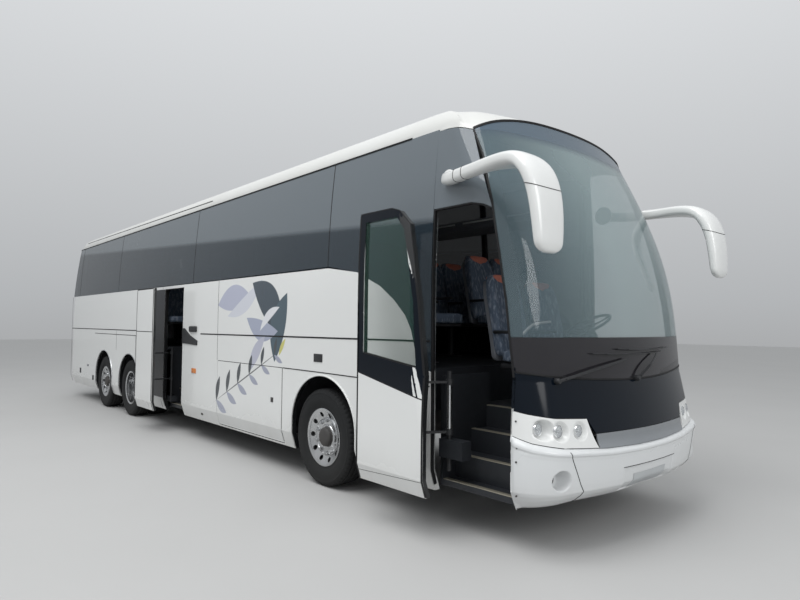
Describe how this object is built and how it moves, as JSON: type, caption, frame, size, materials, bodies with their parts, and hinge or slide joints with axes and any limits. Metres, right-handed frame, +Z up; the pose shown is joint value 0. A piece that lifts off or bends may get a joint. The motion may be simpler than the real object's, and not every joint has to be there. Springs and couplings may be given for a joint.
{
  "type": "coach bus",
  "caption": "Three-axle touring coach with swing-out doors front and middle, luggage flaps, a steered front axle, twin drive wheels and a rear engine hatch.",
  "frame": {"origin": "on the ground, under the middle of the coach's length and width", "axes": "+X forward, +Y to the coach's left, +Z up"},
  "size_m": [13.583, 3.1924, 3.7998],
  "materials": {
    "white_paint": "gloss",
    "tinted_glass": "gloss",
    "clear_glass": "gloss",
    "silver_paint": "satin",
    "dark_steel": "matte",
    "polished_aluminium": "polished",
    "tyre_rubber": "matte",
    "floor_vinyl": "matte",
    "seat_cloth": "woven",
    "dash_plastic": "matte",
    "black_plastic": "matte",
    "roof_plastic": "satin",
    "lamp_lens": "gloss",
    "red_lens": "gloss"
  },
  "bodies": {
    "coach_body": {"right_side_wall": "white_paint", "left_side_wall": "white_paint", "driver_side_panel": "white_paint", "front_panel": "white_paint", "lamp_panels": "white_paint", "front_bumper": "white_paint", "rear_wall": "white_paint", "rear_bumper": "white_paint", "roof_shell": "white_paint", "front_dome": "white_paint", "mirrors": "white_paint", "side_windows": "tinted_glass", "quarter_windows": "tinted_glass", "rear_window": "tinted_glass", "windscreen": "clear_glass", "silver_trim": "silver_paint", "window_posts": "dark_steel", "chassis_frame": "dark_steel", "wheel_housings": "dark_steel", "engine_block": "dark_steel", "front_axle_beam": "dark_steel", "rear_axles": "dark_steel", "luggage_floor": "dark_steel", "saloon_floor": "floor_vinyl", "front_steps": "floor_vinyl", "mid_steps": "floor_vinyl", "passenger_seats": "seat_cloth", "front_seats": "seat_cloth", "dashboard": "dash_plastic", "steering_wheel": "black_plastic", "wipers": "black_plastic", "roof_air_conditioner": "roof_plastic", "roof_hatches": "roof_plastic", "headlamps": "lamp_lens", "tail_lamps": "red_lens"},
    "front_wheel_left": {"front_tyre_left": "tyre_rubber", "front_wheel_left": "polished_aluminium"},
    "front_wheel_right": {"front_tyre_right": "tyre_rubber", "front_wheel_right": "polished_aluminium"},
    "drive_wheel_left": {"drive_tyre_left": "tyre_rubber", "drive_wheel_left": "polished_aluminium"},
    "drive_wheel_right": {"drive_tyre_right": "tyre_rubber", "drive_wheel_right": "polished_aluminium"},
    "tag_wheel_left": {"tag_tyre_left": "tyre_rubber", "tag_wheel_left": "polished_aluminium"},
    "tag_wheel_right": {"tag_tyre_right": "tyre_rubber", "tag_wheel_right": "polished_aluminium"},
    "knuckle_left": {"knuckle_left": "dark_steel"},
    "knuckle_right": {"knuckle_right": "dark_steel"},
    "front_door_arms": {"front_door_arms": "dark_steel"},
    "front_door": {"front_door": "white_paint", "front_door_glass": "tinted_glass"},
    "mid_door_arms": {"mid_door_arms": "dark_steel"},
    "mid_door": {"mid_door": "white_paint"},
    "luggage_flap_right": {"luggage_flap_right": "white_paint"},
    "luggage_flap_left_front": {"luggage_flap_left_front": "white_paint"},
    "luggage_flap_left_middle": {"luggage_flap_left_middle": "white_paint"},
    "luggage_flap_left_rear": {"luggage_flap_left_rear": "white_paint"},
    "engine_hatch": {"engine_hatch": "white_paint"}
  },
  "joints": [
    {"name": "steering_left", "type": "hinge", "parent": "coach_body", "child": "knuckle_left", "pos_m": [3.765, 0.87, 0.505], "axis": [0, 0, 1], "range_deg": [-38, 38]},
    {"name": "front_wheel_left_spin", "type": "hinge", "parent": "knuckle_left", "child": "front_wheel_left", "pos_m": [3.765, 1.105, 0.505], "axis": [0, 1, 0], "continuous": true},
    {"name": "drive_wheel_left_spin", "type": "hinge", "parent": "coach_body", "child": "drive_wheel_left", "pos_m": [-2.475, 1.105, 0.505], "axis": [0, 1, 0], "continuous": true},
    {"name": "tag_wheel_left_spin", "type": "hinge", "parent": "coach_body", "child": "tag_wheel_left", "pos_m": [-4.035, 1.105, 0.505], "axis": [0, 1, 0], "continuous": true},
    {"name": "steering_right", "type": "hinge", "parent": "coach_body", "child": "knuckle_right", "pos_m": [3.765, -0.87, 0.505], "axis": [0, 0, 1], "range_deg": [-38, 38]},
    {"name": "front_wheel_right_spin", "type": "hinge", "parent": "knuckle_right", "child": "front_wheel_right", "pos_m": [3.765, -1.105, 0.505], "axis": [0, 1, 0], "continuous": true},
    {"name": "drive_wheel_right_spin", "type": "hinge", "parent": "coach_body", "child": "drive_wheel_right", "pos_m": [-2.475, -1.105, 0.505], "axis": [0, 1, 0], "continuous": true},
    {"name": "tag_wheel_right_spin", "type": "hinge", "parent": "coach_body", "child": "tag_wheel_right", "pos_m": [-4.035, -1.105, 0.505], "axis": [0, 1, 0], "continuous": true},
    {"name": "front_door_swing", "type": "hinge", "parent": "coach_body", "child": "front_door_arms", "pos_m": [5.545, -1.18, 1], "axis": [0, 0, 1], "range_deg": [0, 115.8]},
    {"name": "front_door_hold", "type": "hinge", "parent": "front_door_arms", "child": "front_door", "pos_m": [5.3535, -1.53, 1], "axis": [0, 0, 1], "range_deg": [-115.8, 0]},
    {"name": "mid_door_swing", "type": "hinge", "parent": "coach_body", "child": "mid_door_arms", "pos_m": [-0.635, -1.18, 1], "axis": [0, 0, 1], "range_deg": [0, 84]},
    {"name": "mid_door_hold", "type": "hinge", "parent": "mid_door_arms", "child": "mid_door", "pos_m": [-0.6168, -1.5282, 1], "axis": [0, 0, 1], "range_deg": [-84, 0]},
    {"name": "luggage_flap_right_lift", "type": "hinge", "parent": "coach_body", "child": "luggage_flap_right", "pos_m": [2.125, -1.275, 1.178], "axis": [-1, 0, 0], "range_deg": [0, 90]},
    {"name": "luggage_flap_left_front_lift", "type": "hinge", "parent": "coach_body", "child": "luggage_flap_left_front", "pos_m": [2.215, 1.275, 1.178], "axis": [1, 0, 0], "range_deg": [0, 90]},
    {"name": "luggage_flap_left_middle_lift", "type": "hinge", "parent": "coach_body", "child": "luggage_flap_left_middle", "pos_m": [0.675, 1.275, 1.178], "axis": [1, 0, 0], "range_deg": [0, 90]},
    {"name": "luggage_flap_left_rear_lift", "type": "hinge", "parent": "coach_body", "child": "luggage_flap_left_rear", "pos_m": [-0.865, 1.275, 1.178], "axis": [1, 0, 0], "range_deg": [0, 90]},
    {"name": "engine_hatch_lift", "type": "hinge", "parent": "coach_body", "child": "engine_hatch", "pos_m": [-6.825, 0, 1.76], "axis": [0, 1, 0], "range_deg": [0, 80]}
  ],
  "couplings": [
    {"joint": "steering_right", "follows": "steering_left", "ratio": 1},
    {"joint": "front_door_hold", "follows": "front_door_swing", "ratio": -1},
    {"joint": "mid_door_hold", "follows": "mid_door_swing", "ratio": -1}
  ]
}
